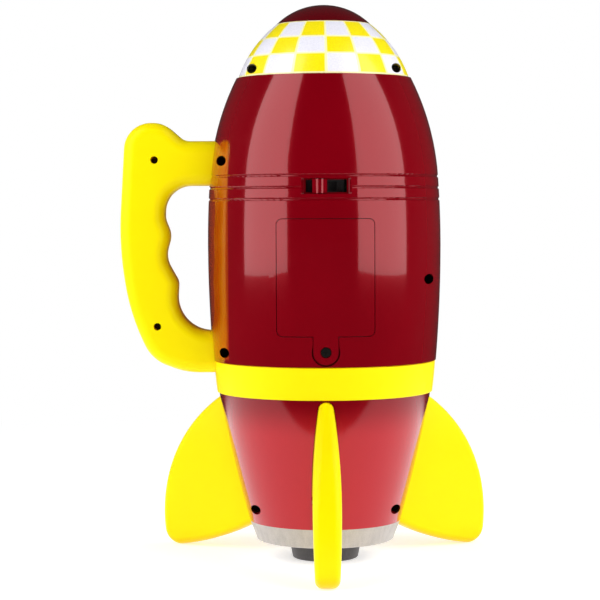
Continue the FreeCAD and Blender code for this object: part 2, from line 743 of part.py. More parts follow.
def belt_half(label, side):
    rounding = 0.6
    inner = dim.belt_seat_radius + dim.play
    low, high = dim.belt_low_height + dim.play, dim.body_low_height - dim.play
    profile = draw(free_sketch(label + "_profile"), [
        (inner, low),
        (dim.belt_low_radius - rounding, low, rounding),
        (dim.belt_low_radius, low + rounding, dim.belt_bow),
        (dim.belt_top_radius, high - rounding, rounding),
        (dim.belt_top_radius - rounding, high),
        (inner, high),
    ])
    band = revolve(label + "_band", profile, side * 180)
    notch = arm_pocket(label + "_notch", dim.low_arm_under_height, dim.low_arm_top_height,
                       dim.arm_end + dim.play)
    return publish(cut(label, band, [notch]), label)


def nose_profiles(label):
    neck_top = dim.body_top_height
    flange_top = neck_top - dim.top_lip_thick - dim.play
    neck_radius = dim.top_lip_radius - 0.2
    outer = draw(free_sketch(label + "_outer_profile"), [
        (0, flange_top - 3),
        (dim.nose_flange_radius, flange_top - 3),
        (dim.nose_flange_radius, flange_top),
        (neck_radius, flange_top),
        (neck_radius, neck_top),
        (dim.nose_low_radius, neck_top, dim.nose_bow),
        (dim.nose_top_radius, dim.nose_top_height),
        (0, dim.nose_top_height),
    ])
    lip_under = dim.nose_top_height - dim.nose_lip_thick
    inner = draw(free_sketch(label + "_inner_profile"), [
        (0, flange_top - 4),
        (neck_radius - dim.wall, flange_top - 4),
        (neck_radius - dim.wall, neck_top, dim.nose_bow - dim.wall),
        (dim.nose_top_radius - 0.4, lip_under),
        (dim.nose_lip_radius, lip_under),
        (dim.nose_lip_radius, dim.nose_top_height + 1),
        (0, dim.nose_top_height + 1),
    ])
    return outer, inner


def nose_half(label, side):
    """Dome wall; the screw posts are what the cavity leaves standing."""
    outer_sketch, inner_sketch = nose_profiles(label)
    outer = revolve(label + "_outer", outer_sketch, side * 180)
    cavity = revolve(label + "_cavity", inner_sketch)
    hollow = cut(label + "_hollow", cavity, screw_tubes(label, nose_screw_places(), side))
    return publish(cut(label, outer, [hollow] + screw_bores(label, nose_screw_places(), side)), label)


def dome_bow(radius, rise):
    return (radius * radius + rise * rise) / (rise * 2)


def nose_cap():
    rim = dim.nose_top_height
    flange_top = rim - dim.nose_lip_thick - 0.2
    neck = dim.nose_lip_radius - 0.2
    inner = neck - dim.wall
    outer_rise = dim.tip_height - rim
    inner_rise = outer_rise - dim.wall
    cap = turned("nose_cap", [
        (inner, flange_top - 2),
        (dim.cap_flange_radius, flange_top - 2),
        (dim.cap_flange_radius, flange_top),
        (neck, flange_top),
        (neck, rim),
        (dim.nose_top_radius, rim, dome_bow(dim.nose_top_radius, outer_rise)),
        (0, dim.tip_height),
        (0, rim + inner_rise, -dome_bow(inner, inner_rise)),
        (inner, rim),
    ])
    return publish(cap, "nose_cap")


def tail_ring():
    rounding = 1.5
    low, top = dim.ring_low_height, dim.tail_low_height
    neck = dim.low_lip_radius - 0.2
    inner = neck - dim.wall
    flange_low = top + dim.low_lip_thick + 0.2
    ring = turned("tail_ring", [
        (dim.nozzle_hole_radius, low),
        (dim.ring_low_radius - rounding, low, rounding),
        (dim.ring_low_radius, low + rounding),
        (dim.ring_top_radius, top),
        (neck, top),
        (neck, flange_low),
        (dim.ring_flange_radius, flange_low),
        (dim.ring_flange_radius, flange_low + 1.4),
        (inner, flange_low + 1.4),
        (inner, low + 2.4),
        (dim.nozzle_hole_radius, low + 2.4),
    ])
    return publish(ring, "tail_ring")


def nozzle_plug():
    rounding = 1.2
    top = dim.ring_low_height
    neck = dim.nozzle_hole_radius - 0.2
    flange_low = top + 2.6
    inner = neck - dim.wall
    plug = turned("nozzle_plug", [
        (0, 0),
        (dim.nozzle_low_radius - rounding, 0, rounding),
        (dim.nozzle_low_radius, rounding),
        (dim.nozzle_top_radius, top),
        (neck, top),
        (neck, flange_low),
        (neck + 1.4, flange_low),
        (neck + 1.4, flange_low + 1.6),
        (inner, flange_low + 1.6),
        (inner, dim.wall),
        (0, dim.wall),
    ])
    return publish(plug, "nozzle_plug")


# Fins

def fin(label, angle):
    inside = dim.tail_low_radius - dim.wall - 0.6
    outline = draw_rounded(free_sketch(label + "_outline", (0, 10, 0)), [
        (dim.fin_heel_radius, dim.fin_heel_height),
        (dim.fin_keel_radius, dim.fin_keel_height, dim.fin_keel_bow),
        (dim.fin_toe_radius, dim.fin_toe_height, dim.fin_toe_bow),
        (dim.fin_shoulder_radius, dim.fin_shoulder_height, dim.fin_bow),
        (dim.tail_top_radius + 0.7, dim.fin_top_height),
        (dim.belt_seat_radius - dim.wall - 2, dim.fin_top_height),
        (inside + 2.8, dim.fin_slot_low + dim.slot_gap),
        (inside + 6.9, dim.fin_slot_low + dim.slot_gap),
        (dim.tail_low_radius + 0.6, dim.tail_low_height),
    ])
    blade = extrude(label + "_blade", outline, Vector(0, -1, 0), 20)
    section = fin_section(label + "_section", -2, dim.fin_low_half, 0)
    lens = extrude(label + "_lens", section, Vector(1, 0, 0), 90)
    rough = common(label + "_rough", blade, lens)
    outer_rim = dim.body_wide_radius.value + 4

    def on_rim(edge):
        spot = middle(edge)
        low_rim = spot.z < dim.fin_heel_height.value and spot.x > dim.fin_heel_radius.value + 3
        return abs(spot.y) > 1 and (spot.x > outer_rim or low_rim)

    smooth = round_edges(label + "_smooth", rough, dim.fin_edge, on_rim)
    solid = fuse(label + "_solid", [smooth, root_plate(label)])
    whole = cut(label, solid, [fin_hollow(label, outline), fin_mouth(label)])
    whole.Placement = Placement(Vector(), Rotation(Vector(0, 0, 1), angle))
    return publish(whole, label)


def fin_hollow(label, outline):
    """Core of the fin, one wall thickness inside its outline and its faces."""
    core_outline = doc.addObject("Part::Offset2D", label + "_core_outline")
    core_outline.Source = outline
    bind(core_outline, Value=-dim.fin_wall)
    slab = extrude(label + "_core_slab", core_outline, Vector(0, -1, 0), 20)
    section = fin_section(label + "_core_section", -2, dim.fin_low_half, -dim.fin_wall)
    return common(label + "_core", slab, extrude(label + "_core_lens", section, Vector(1, 0, 0), 90))


def fin_mouth(label):
    """Slot through the root that the core leaves by."""
    return box(label + "_mouth", (30, -dim.fin_mouth_half, dim.fin_mouth_low),
               (dim.fin_heel_radius + dim.fin_mouth_reach, dim.fin_mouth_half, dim.fin_mouth_high))


def root_plate(label):
    """Flat flange behind the wall, sloped like the tail, that keeps a fin from pulling out."""
    slope = (dim.belt_seat_radius - dim.tail_low_radius) / (dim.belt_low_height - dim.tail_low_height)
    low_face = dim.tail_low_radius - dim.wall - 1.8 + slope * (dim.root_plate_low - dim.tail_low_height)
    high_face = dim.tail_low_radius - dim.wall - 1.8 + slope * (dim.root_plate_high - dim.tail_low_height)
    section = draw(free_sketch(label + "_plate_section", (0, dim.root_plate_half, 0)), [
        (low_face - dim.root_plate_thick, dim.root_plate_low),
        (low_face, dim.root_plate_low),
        (high_face, dim.root_plate_high),
        (high_face - dim.root_plate_thick, dim.root_plate_high),
    ])
    return extrude(label + "_plate", section, Vector(0, -1, 0), dim.root_plate_half * 2)


# Handle

def handle_corners():
    """Outline of the handle, from the upper arm round the grip and back along the finger gap."""
    end = dim.arm_end
    return [
        (end, dim.arm_top_height),
        (end - 17.1, dim.arm_top_height, 9),
        (end - 28.8, dim.arm_top_height + 10.2, 15),
        (end - 49.9, dim.arm_top_height + 10.2, 15),
        (end - 53.9, dim.arm_top_height - 57.7, 180),
        (end - 48.0, dim.low_arm_top_height + 10, 120),
        (end - 36.1, dim.low_arm_under_height + 7.1, 22),
        (end - 16.6, dim.low_arm_under_height, 40),
        (end, dim.low_arm_under_height),
        (end, dim.low_arm_top_height),
        (end - 22.6, dim.low_arm_top_height, 19),
        (end - 21.0, dim.low_arm_top_height + 27.5, 7),
        (end - 28.5, dim.low_arm_top_height + 41.0, 14),
        (end - 24.8, dim.low_arm_top_height + 53.5, 12),
        (end - 28.4, dim.low_arm_top_height + 62.5, 10),
        (end - 27.9, dim.arm_under_height, 14.5),
        (end, dim.arm_under_height),
    ]


def grip_screw_places():
    return [(dim.grip_screw_high_across, dim.grip_screw_high_up),
            (dim.grip_screw_low_across, dim.grip_screw_low_up)]


def handle_half(label, side):
    outward = Vector(0, side, 0)
    aim = "front" if side == FRONT else "back"
    sketch = draw_rounded(free_sketch(label + "_outline"), handle_corners())
    block = extrude(label + "_block", sketch, outward, dim.handle_half)
    face = side * dim.handle_half.value
    end = dim.arm_end.value

    def on_rim(edge):
        spot = middle(edge)
        return abs(spot.y - face) < 0.01 and spot.x < end - 0.1

    rounded = round_edges(label + "_rounded", block, dim.handle_edge, on_rim)
    hollow_sketch = doc.addObject("Part::Offset2D", label + "_hollow_outline")
    hollow_sketch.Source = sketch
    bind(hollow_sketch, Value=-dim.handle_skin)
    hollow = extrude(label + "_hollow", hollow_sketch, outward, dim.handle_half - dim.handle_skin)
    posts = [rod(f"{label}_post_{index + 1}", (across, 0, up), aim, dim.tube_radius, dim.handle_half)
             for index, (across, up) in enumerate(grip_screw_places())]
    shell = cut(label + "_shell", rounded, [cut(label + "_void", hollow, posts)])
    low, high = (-dim.strap_half, ZERO) if side == BACK else (ZERO, dim.strap_half)
    strap = [box(label + "_strap", (dim.arm_end, low, dim.strap_low_height),
                 (dim.arm_end + dim.strap_thick, high, dim.arm_top_height))]
    for name, under, top in (("high", dim.arm_under_height, dim.arm_top_height),
                             ("low", dim.strap_low_height, dim.low_arm_top_height)):
        strap.append(box(f"{label}_{name}_root", (dim.arm_end - 1, low, under + 1),
                         (dim.arm_end + 1, high, top - 1)))
    tools = strap_holes(label) + grip_bores(label, side)
    return publish(cut(label, fuse(label + "_solid", [shell] + strap), tools), label)


def strap_holes(label):
    return [rod(f"{label}_strap_hole_{index + 1}", (across, -20, up), "front", dim.shank_hole_radius, 40)
            for index, (across, up, _, _) in enumerate(shell_screw_places()[:2])]


def grip_bores(label, side):
    tools = []
    for index, (across, up) in enumerate(grip_screw_places()):
        name = f"{label}_bore_{index + 1}"
        if side == FRONT:
            tools.append(rod(name, (across, -1, up), "front", dim.small_pilot_radius, 8))
            continue
        tools.append(rod(name, (across, -dim.grip_floor, up), "back", dim.grip_bore_radius, 20))
        tools.append(rod(name + "_shank", (across, dim.overrun, up), "back",
                         dim.small_hole_radius, 8))
    return tools


# Battery door, tray and cells

def battery_door():
    label = "battery_door"
    outer = revolve(label + "_outer", outer_profile(label + "_outer_profile"), BACK * 180)
    cavity = revolve(label + "_cavity", inner_profile(label + "_inner_profile", dim.wall))
    wall = cut(label + "_wall", outer, [cavity])
    panel = extrude(label + "_panel", door_outline(label + "_edge", 0), Vector(0, -1, 0), dim.past_wall)
    seat = dim.shelf_depth + dim.play
    reach = dim.past_wall - seat
    tongue = box(label + "_tongue", (-dim.tongue_half, -dim.past_wall, dim.door_screw_up),
                 (dim.tongue_half, -seat, dim.door_low_height + 5))
    tongue_end = rod(label + "_tongue_end", (0, -seat, dim.door_screw_up), "back", dim.tongue_half, reach)
    skin = common(label + "_skin", wall, fuse(label + "_blank", [panel, tongue, tongue_end]))
    post_rod = rod(label + "_post_rod", (0, -seat, dim.door_screw_up), "back", dim.tongue_half - 1, reach)
    post = common(label + "_post", post_rod, outer)
    well = rod(label + "_well", (0, -dim.door_screw_floor, dim.door_screw_up), "back",
               dim.bore_radius + dim.play * 2, reach)
    hole = rod(label + "_hole", (0, -dim.inside_wall, dim.door_screw_up), "back",
               dim.shank_hole_radius, reach)
    return publish(cut(label, fuse(label + "_solid", [skin, post]), [well, hole]), label)


def door_screw():
    sizes = (dim.head_radius, dim.door_head_height, dim.shank_radius, dim.door_shank_reach)
    item = screw("door_screw", ZERO, dim.door_screw_up, -dim.door_screw_floor, "front", sizes)
    return publish(item, "door_screw")


def battery_tray():
    label = "battery_tray"
    outer = box(label + "_outer", (-dim.tray_half, -dim.past_wall, dim.tray_low_height),
                (dim.tray_half, dim.tray_side - dim.tray_floor_depth, dim.tray_top_height))
    hollow_half = dim.tray_half - dim.tray_side
    hollow = box(label + "_hollow", (-hollow_half, -dim.past_wall, dim.tray_low_height + dim.tray_end),
                 (hollow_half, -dim.tray_floor_depth, dim.tray_top_height - dim.tray_end))
    bound = revolve(label + "_bound", inner_profile(label + "_bound_profile", dim.wall + 0.15))
    walls = common(label + "_walls", cut(label + "_trough", outer, [hollow]), bound)
    ears, holes = [], []
    for side in (-1, 1):
        name = f"{label}_ear_{'left' if side < 0 else 'right'}"
        reach, root_line = side * dim.ear_reach, side * (dim.tray_half - 1)
        low, high = (reach, root_line) if side < 0 else (root_line, reach)
        ears.append(box(name, (low, -dim.ear_depth, dim.ear_screw_up - dim.ear_half),
                        (high, dim.tray_side - dim.ear_depth, dim.ear_screw_up + dim.ear_half)))
        holes.append(rod(name + "_hole", (side * dim.ear_screw_across, -60, dim.ear_screw_up), "front",
                         dim.small_hole_radius, 40))
    return publish(cut(label, fuse(label + "_solid", [walls] + ears), holes), label)


def cell_low():
    return dim.tray_low_height + dim.tray_end + dim.contact_thick


def cell_high():
    return dim.tray_top_height - dim.tray_end - dim.contact_thick


def battery(index):
    """AA cell; the middle one stands upside down so that the three are in series."""
    label = f"battery_{index + 1}"
    upside_down = index == 1
    rounding = 0.6
    shoulder = dim.cell_length - dim.cell_nub_height
    across = dim.cell_pitch * (index - 1)
    points = [
        (0, 0),
        (dim.cell_radius - rounding, 0, rounding),
        (dim.cell_radius, rounding),
        (dim.cell_radius, shoulder - rounding, rounding),
        (dim.cell_radius - rounding, shoulder),
        (dim.cell_nub_radius, shoulder),
        (dim.cell_nub_radius, dim.cell_length),
        (0, dim.cell_length),
    ]
    body = turned(label, points)
    turn = Rotation(Vector(1, 0, 0), 180) if upside_down else Rotation()
    base = cell_low() + dim.cell_length if upside_down else cell_high() - dim.cell_length
    return publish(place(body, (across, -dim.cell_depth, base), turn), label)


def coil(name, spot, aim, radius, length, turns):
    """Helical spring, closed on flat seats by its own wire ends."""
    helix = doc.addObject("Part::Helix", name + "_path")
    bind(helix, Pitch=(length - dim.wire_radius * 2) / turns, Height=length - dim.wire_radius * 2,
         Radius=radius)
    helix.SegmentLength = HELIX_SEGMENT_TURNS
    helix.Placement = Placement(Vector(0, 0, dim.wire_radius.value), Rotation())
    wire = doc.addObject("Part::Circle", name + "_wire")
    bind(wire, Radius=dim.wire_radius)
    wire.Placement = Placement(Vector(radius.value, 0, dim.wire_radius.value), AIM["back"])
    sweep = doc.addObject("Part::Sweep", name)
    sweep.Sections = [wire]
    sweep.Spine = (helix, [])
    sweep.Solid = True
    sweep.Frenet = True
    return place(sweep, spot, AIM[aim])


def battery_springs():
    length = cell_high() - cell_low() - dim.cell_length - dim.play * 2
    springs = []
    for index in range(3):
        base = cell_high() - dim.play - length if index == 1 else cell_low() + dim.play
        spot = (dim.cell_pitch * (index - 1), -dim.cell_depth, base)
        springs.append(coil(f"battery_spring_{index + 1}", spot, "up", dim.coil_radius, length, 5))
    return publish(group("battery_springs", springs), "battery_springs")


def battery_contacts():
    """Plated strips: the first two cells are bridged at the top, the last two at the bottom."""
    reach = dim.cell_radius - 1
    deep, shallow = -(dim.cell_depth - dim.cell_radius + 1.5), -(dim.cell_depth + dim.cell_radius - 1.5)
    strips = []
    for low, first, last in ((cell_low() - dim.contact_thick, 0, 0), (cell_low() - dim.contact_thick, 1, 2),
                             (cell_high(), 0, 1), (cell_high(), 2, 2)):
        left = dim.cell_pitch * (first - 1) - reach
        right = dim.cell_pitch * (last - 1) + reach
        strips.append(box(f"battery_contact_{len(strips) + 1}", (left, shallow, low),
                          (right, deep, low + dim.contact_thick)))
    return publish(group("battery_contacts", strips), "battery_contacts")


# Slide switch and main board

def switch_height():
    return (dim.recess_low_height + dim.recess_top_height) / 2


def switch_knob():
    label = "switch_knob"
    left, right = dim.knob_rest - dim.knob_width / 2, dim.knob_rest + dim.knob_width / 2
    middle_height = switch_height()
    stem_half, half_height = dim.stem_width / 2, dim.stem_height / 2
    low, top = middle_height - dim.knob_height / 2, middle_height + dim.knob_height / 2
    cap = box(label + "_cap", (left, -dim.knob_face, low), (right, -dim.recess_floor - 0.1, top))
    dish = rod(label + "_dish", (dim.knob_rest, -(dim.knob_face + 2.1), low - 1), "up", 2.8,
               dim.knob_height + 2)
    stem = box(label + "_stem",
               (dim.knob_rest - stem_half, -dim.recess_floor - 1, middle_height - half_height),
               (dim.knob_rest + stem_half, -dim.recess_back + 2, middle_height + half_height))
    socket = box(label + "_socket", (dim.knob_rest - 1.15, -dim.recess_back - 1.5, middle_height - 1.15),
                 (dim.knob_rest + 1.15, -dim.recess_back + 3, middle_height + 1.15))
    return publish(cut(label, fuse(label + "_solid", [cap, stem]), [dish, socket]), label)


def switch_actuator():
    label = "switch_actuator"
    middle_height = switch_height()
    foot = box(label + "_foot", (dim.knob_rest - 3, -dim.switch_depth + 0.4, middle_height - 2.5),
               (dim.knob_rest + 3, -dim.board_depth - 1.6, middle_height + 2.5))
    stub = box(label + "_stub", (dim.knob_rest - 1.1, -dim.recess_back - 1.4, middle_height - 1.1),
               (dim.knob_rest + 1.1, -dim.switch_depth + 0.5, middle_height + 1.1))
    return publish(fuse(label, [foot, stub]), label)


def slide_switch():
    label = "slide_switch"
    middle_height = switch_height()
    outer = box(label + "_outer", (-dim.switch_half, -dim.switch_depth, middle_height - 3.5),
                (dim.switch_half, -dim.board_depth, middle_height + 3.5))
    hollow = box(label + "_hollow", (-6.2, -dim.switch_depth - 1, middle_height - 2.6),
                 (6.2, -dim.board_depth - 1.4, middle_height + 2.6))
    return publish(cut(label, outer, [hollow]), label)


def circuit_board():
    holes = [(across, up, dim.small_hole_radius) for across, up in board_screw_places()]
    outline = rectangle(-dim.board_half, dim.board_low_height, dim.board_half, dim.board_top_height)
    front = dim.board_thick - dim.board_depth
    board = padded("circuit_board", outline, dim.board_thick, holes, (0, front, 0))
    return publish(board, "circuit_board")


def sound_chip():
    base, low = dim.board_thick - dim.board_depth, dim.board_low_height + 12
    chip = box("sound_chip", (-6, base, low), (6, base + 2, low + 10))
    return publish(chip, "sound_chip")


# Sound button and speaker

def sound_button():
    front, flange = dim.button_face, dim.button_flange_front
    back = flange - dim.button_flange_thick
    dome_radius, dome_rise = dim.button_radius - 1.3, 1.2
    points = [
        (0, back - 1.55),
        (2.5, back - 1.55),
        (2.5, back),
        (dim.button_flange_radius, back),
        (dim.button_flange_radius, flange),
        (dim.button_radius, flange),
        (dim.button_radius, front - 2.6, 1.4),
        (dome_radius, front - dome_rise, dome_bow(dome_radius, as_size(dome_rise))),
        (0, front),
    ]
    return publish(turned("sound_button", points, (0, 0, dim.button_up), "front"), "sound_button")


def button_spring():
    back = dim.button_flange_front - dim.button_flange_thick
    spring = coil("button_spring", (0, dim.button_board_depth + dim.play, dim.button_up), "front",
                  dim.tact_width, back - dim.button_board_depth - dim.play * 2, 4)
    return publish(spring, "button_spring")


def button_board():
    holes = [(across, up, dim.small_hole_radius) for across, up in button_screw_places()]
    half = dim.button_board_height / 2
    outline = rectangle(-dim.button_board_half, dim.button_up - half, dim.button_board_half,
                        dim.button_up + half)
    board = padded("button_board", outline, dim.board_thick, holes, (0, dim.button_board_depth, 0))
    return publish(board, "button_board")


def tact_switch():
    label = "tact_switch"
    half = dim.tact_width / 2
    base = dim.button_board_depth
    block = box(label + "_block", (-half, base, dim.button_up - half),
                (half, base + dim.tact_height, dim.button_up + half))
    stem = rod(label + "_stem", (0, base + 1, dim.button_up), "front", dim.tact_stem_radius,
               dim.tact_height + dim.tact_stem_height - 1)
    return publish(fuse(label, [block, stem]), label)


def speaker_frame():
    seat, rim = dim.speaker_seat, dim.speaker_rim
    points = [
        (dim.magnet_radius - 3, dim.magnet_front),
        (dim.magnet_radius, dim.magnet_front),
        (dim.speaker_radius - 2.8, seat - rim),
        (dim.speaker_radius, seat - rim),
        (dim.speaker_radius, seat),
        (dim.speaker_radius - 2, seat),
        (dim.speaker_radius - 3.6, seat - rim),
        (dim.magnet_radius - 1, dim.magnet_front + 1),
        (dim.magnet_radius - 3, dim.magnet_front + 1),
    ]
    return publish(turned("speaker_frame", points, (0, 0, dim.speaker_up), "front"), "speaker_frame")


def speaker_cone():
    seat, rim = dim.speaker_seat, dim.speaker_rim
    points = [
        (0, dim.magnet_front + 2.2),
        (dim.magnet_radius - 4, dim.magnet_front + 2.2),
        (dim.speaker_radius - 4.2, seat - rim - 0.2),
        (dim.speaker_radius - 4.2, seat - rim + 0.3),
        (dim.magnet_radius - 4.4, dim.magnet_front + 2.9),
        (0, dim.magnet_front + 2.9),
    ]
    return publish(turned("speaker_cone", points, (0, 0, dim.speaker_up), "front"), "speaker_cone")


def speaker_magnet():
    points = rectangle(0, dim.magnet_back, dim.magnet_radius, dim.magnet_front)
    return publish(turned("speaker_magnet", points, (0, 0, dim.speaker_up), "front"), "speaker_magnet")


def speaker_clamp():
    label = "speaker_clamp"
    back, front = dim.speaker_seat - dim.speaker_rim * 2, dim.speaker_seat - dim.speaker_rim
    disc = rod(label + "_disc", (0, back, dim.speaker_up), "front", dim.clamp_radius, front - back)
    reach = dim.clamp_screw_reach + 3.2
    ears = box(label + "_ears", (-3.5, back, dim.speaker_up - reach), (3.5, front, dim.speaker_up + reach))
    hole = rod(label + "_hole", (0, back - 1, dim.speaker_up), "front", dim.speaker_radius - 2.4, 10)
    drills = [rod(f"{label}_drill_{index + 1}", (across, back - 1, up), "front",
                  dim.small_hole_radius, 10)
              for index, (across, up) in enumerate(clamp_screw_places())]
    return publish(cut(label, fuse(label + "_solid", [disc, ears]), [hole] + drills), label)


def build():
    shell_back()
    shell_front()
    belt_half("belt_back", BACK)
    belt_half("belt_front", FRONT)
    nose_half("nose_back", BACK)
    nose_half("nose_front", FRONT)
    nose_cap()
    tail_ring()
    nozzle_plug()
    for label, angle in (("fin_back", -90), ("fin_right", 30), ("fin_left", 150)):
        fin(label, angle)
    handle_half("handle_back", BACK)
    handle_half("handle_front", FRONT)
    case_screws("shell_screws", shell_screw_places())
    case_screws("nose_screws", nose_screw_places())
    small_screws("handle_screws", grip_screw_places(), -dim.grip_floor, "front", 10)
    battery_door()
    door_screw()
    battery_tray()
    small_screws("tray_screws", tray_screw_places(), dim.tray_side - dim.ear_depth, "back")
    for index in range(3):
        battery(index)
    battery_springs()
    battery_contacts()
    switch_knob()
    switch_actuator()
    slide_switch()
    circuit_board()
    sound_chip()
    small_screws("board_screws", board_screw_places(), dim.board_thick - dim.board_depth, "back")
    sound_button()
    button_spring()
    button_board()
    tact_switch()
    small_screws("button_screws", button_screw_places(), dim.button_board_depth - dim.board_thick, "front")
    speaker_frame()
    speaker_cone()
    speaker_magnet()
    speaker_clamp()
    small_screws("speaker_screws", clamp_screw_places(), dim.speaker_seat - dim.speaker_rim * 2, "front")


def check_document():
    for item in doc.Objects:
        if "Invalid" in item.State or "Error" in item.State:
            raise RuntimeError(f"{item.Label} failed: {item.State}")
    for item in nodes:
        if item.Shape.isNull() or not item.Shape.isValid():
            raise RuntimeError(f"{item.Label} has no valid shape")


def write_steps():
    os.makedirs("parts", exist_ok=True)
    for item in nodes:
        item.Shape.exportStep(os.path.join("parts", item.Label + ".step"))
        print(f"{item.Label}: {len(item.Shape.Solids)} solids, {item.Shape.Volume / 1000:.2f} cm3")


build()
doc.recompute()
check_document()
write_steps()
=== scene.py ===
import json
import math

import bpy
from mathutils import Matrix, Vector


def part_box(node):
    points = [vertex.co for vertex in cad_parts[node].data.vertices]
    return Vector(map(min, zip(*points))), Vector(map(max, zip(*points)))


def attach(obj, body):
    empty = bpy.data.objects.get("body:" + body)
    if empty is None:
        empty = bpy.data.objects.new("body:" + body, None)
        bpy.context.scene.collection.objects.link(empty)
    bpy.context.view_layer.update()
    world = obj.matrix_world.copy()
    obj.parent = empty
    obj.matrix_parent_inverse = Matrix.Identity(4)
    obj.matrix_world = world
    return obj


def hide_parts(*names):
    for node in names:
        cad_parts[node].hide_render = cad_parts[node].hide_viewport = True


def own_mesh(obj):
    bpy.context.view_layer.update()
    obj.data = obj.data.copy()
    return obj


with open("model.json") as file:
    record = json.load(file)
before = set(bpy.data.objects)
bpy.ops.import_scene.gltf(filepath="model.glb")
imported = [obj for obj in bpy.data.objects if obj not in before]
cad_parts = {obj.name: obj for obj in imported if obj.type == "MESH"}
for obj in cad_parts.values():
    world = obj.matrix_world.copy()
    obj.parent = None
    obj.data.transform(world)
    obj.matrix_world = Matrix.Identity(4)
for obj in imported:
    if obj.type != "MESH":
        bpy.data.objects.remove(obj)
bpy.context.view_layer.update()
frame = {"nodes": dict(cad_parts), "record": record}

# Toy space rocket. Metres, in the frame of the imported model: +Z is up, the battery door faces -Y
# and the handle is on the -X side.

# Camera: where the eye stands, which way it looks and its roll. The distance is a guess.
EYE_DISTANCE = 1.12
EYE_HEIGHT = 0.1973
EYE_TURN = math.radians(-0.66)
LOOK_DOWN = math.radians(2.684)
LOOK_LEFT = math.radians(0.7)
ROLL = math.radians(-0.258)
FOCAL_LENGTH_MM = 120
SENSOR_MM = 36

# Floor: paper with some light of its own, which turns to plain white away from the rocket
FLOOR_REACH = 30.0
FLOOR_CORNERS = 96
FLOOR_LIFT = 0.45
PAPER_TO = 0.18
WHITE_FROM = 0.75

# What mirror-like rays see instead: a bright card round the rocket that ends at y = CARD_EDGE, dark
# floor beyond it, and MIRRORED_WORLD of the world's light
CARD_GLOW = 1.15
CARD_DARK = 0.03
CARD_RADIUS = 0.35
CARD_FADED = 0.5
CARD_EDGE = -0.18
CARD_SOFTNESS = 0.008
MIRRORED_WORLD = 0.12

# World's light on the camera side and behind the rocket, and the directions that part them
WORLD_NEAR = 0.12
WORLD_BEHIND = 0.3
WORLD_TURN_FROM = -0.35
WORLD_TURN_TO = 0.5

# The handle's strap glows through the shell from STRAP_RISE above the handle's bottom to STRAP_DROP
# below its top, more from STRAP_ARM_FROM to STRAP_ARM_FULL off its middle, where the arms leave it
STRAP_RISE = 0.009
STRAP_DROP = 0.0114
STRAP_ARM_FROM = 0.03
STRAP_ARM_FULL = 0.058
STRAP_SHARE = 0.8
STRAP_SOFTNESS = 0.001

# Printed squares: columns round the nose, rows up it, and how much later the upper rows come
SQUARE_COLUMNS = 16
SQUARE_ROWS = 3
SQUARE_ROW_GROWTH = 1.12
SQUARES_TURN = 0.02
SQUARE_RIM = 0.0003
COLUMN_LINE = 0.045
ROW_LINE = 0.05

# Copper tracks for each metre across the board and up it
TRACKS_ACROSS = 260.0
TRACKS_UP = 210.0

# Share of a cell's height where its lower bare end stops, the copper band and the pale ring in it
# start, the ring stops and the upper bare end starts
CELL_FOOT = 0.012
CELL_BAND = 0.68
CELL_RING_TOP = 0.7
CELL_NUB = 0.965
CELL_PRINT_EDGE = 0.002

# Linear colours
RED = (0.175, 0.0, 0.004)
DARK_RED = (0.1, 0.0, 0.003)
# Paler red painted on the tail as a sheen, for the white floor it reflects
PAINTED_TAIL_SHEEN = (0.42, 0.012, 0.02)
STRAP_GLOW = (0.33, 0.035, 0.0)
YELLOW = (1.0, 0.83, 0.0)
# Amber shade painted into yellow plastic where other surfaces stand close
AMBER_PAINTED_SHADE = (0.98, 0.5, 0.0)
SQUARE_YELLOW = (0.96, 0.8, 0.0)
SQUARE_WHITE = (0.84, 0.83, 0.92)
SQUARE_LINE = (0.98, 0.95, 0.5)
SILVER = (0.5, 0.465, 0.44)
SILVER_FLECK = (0.72, 0.69, 0.66)
BLACK = (0.045, 0.04, 0.04)
TRAY_BLACK = (0.02, 0.02, 0.022)
SPEAKER_BLACK = (0.03, 0.03, 0.03)
SCREW_STEEL = (0.06, 0.055, 0.05)
PLATED_STEEL = (0.72, 0.7, 0.66)
CELL_STEEL = (0.62, 0.61, 0.58)
CELL_DARK = (0.025, 0.03, 0.034)
CELL_COPPER = (0.52, 0.27, 0.11)
CELL_PALE = (0.75, 0.74, 0.7)
BOARD_MASK = (0.008, 0.075, 0.028)
BOARD_TRACK = (0.018, 0.16, 0.05)
PAPER = (0.93, 0.93, 0.94)
WHITE = (1.0, 1.0, 1.0)


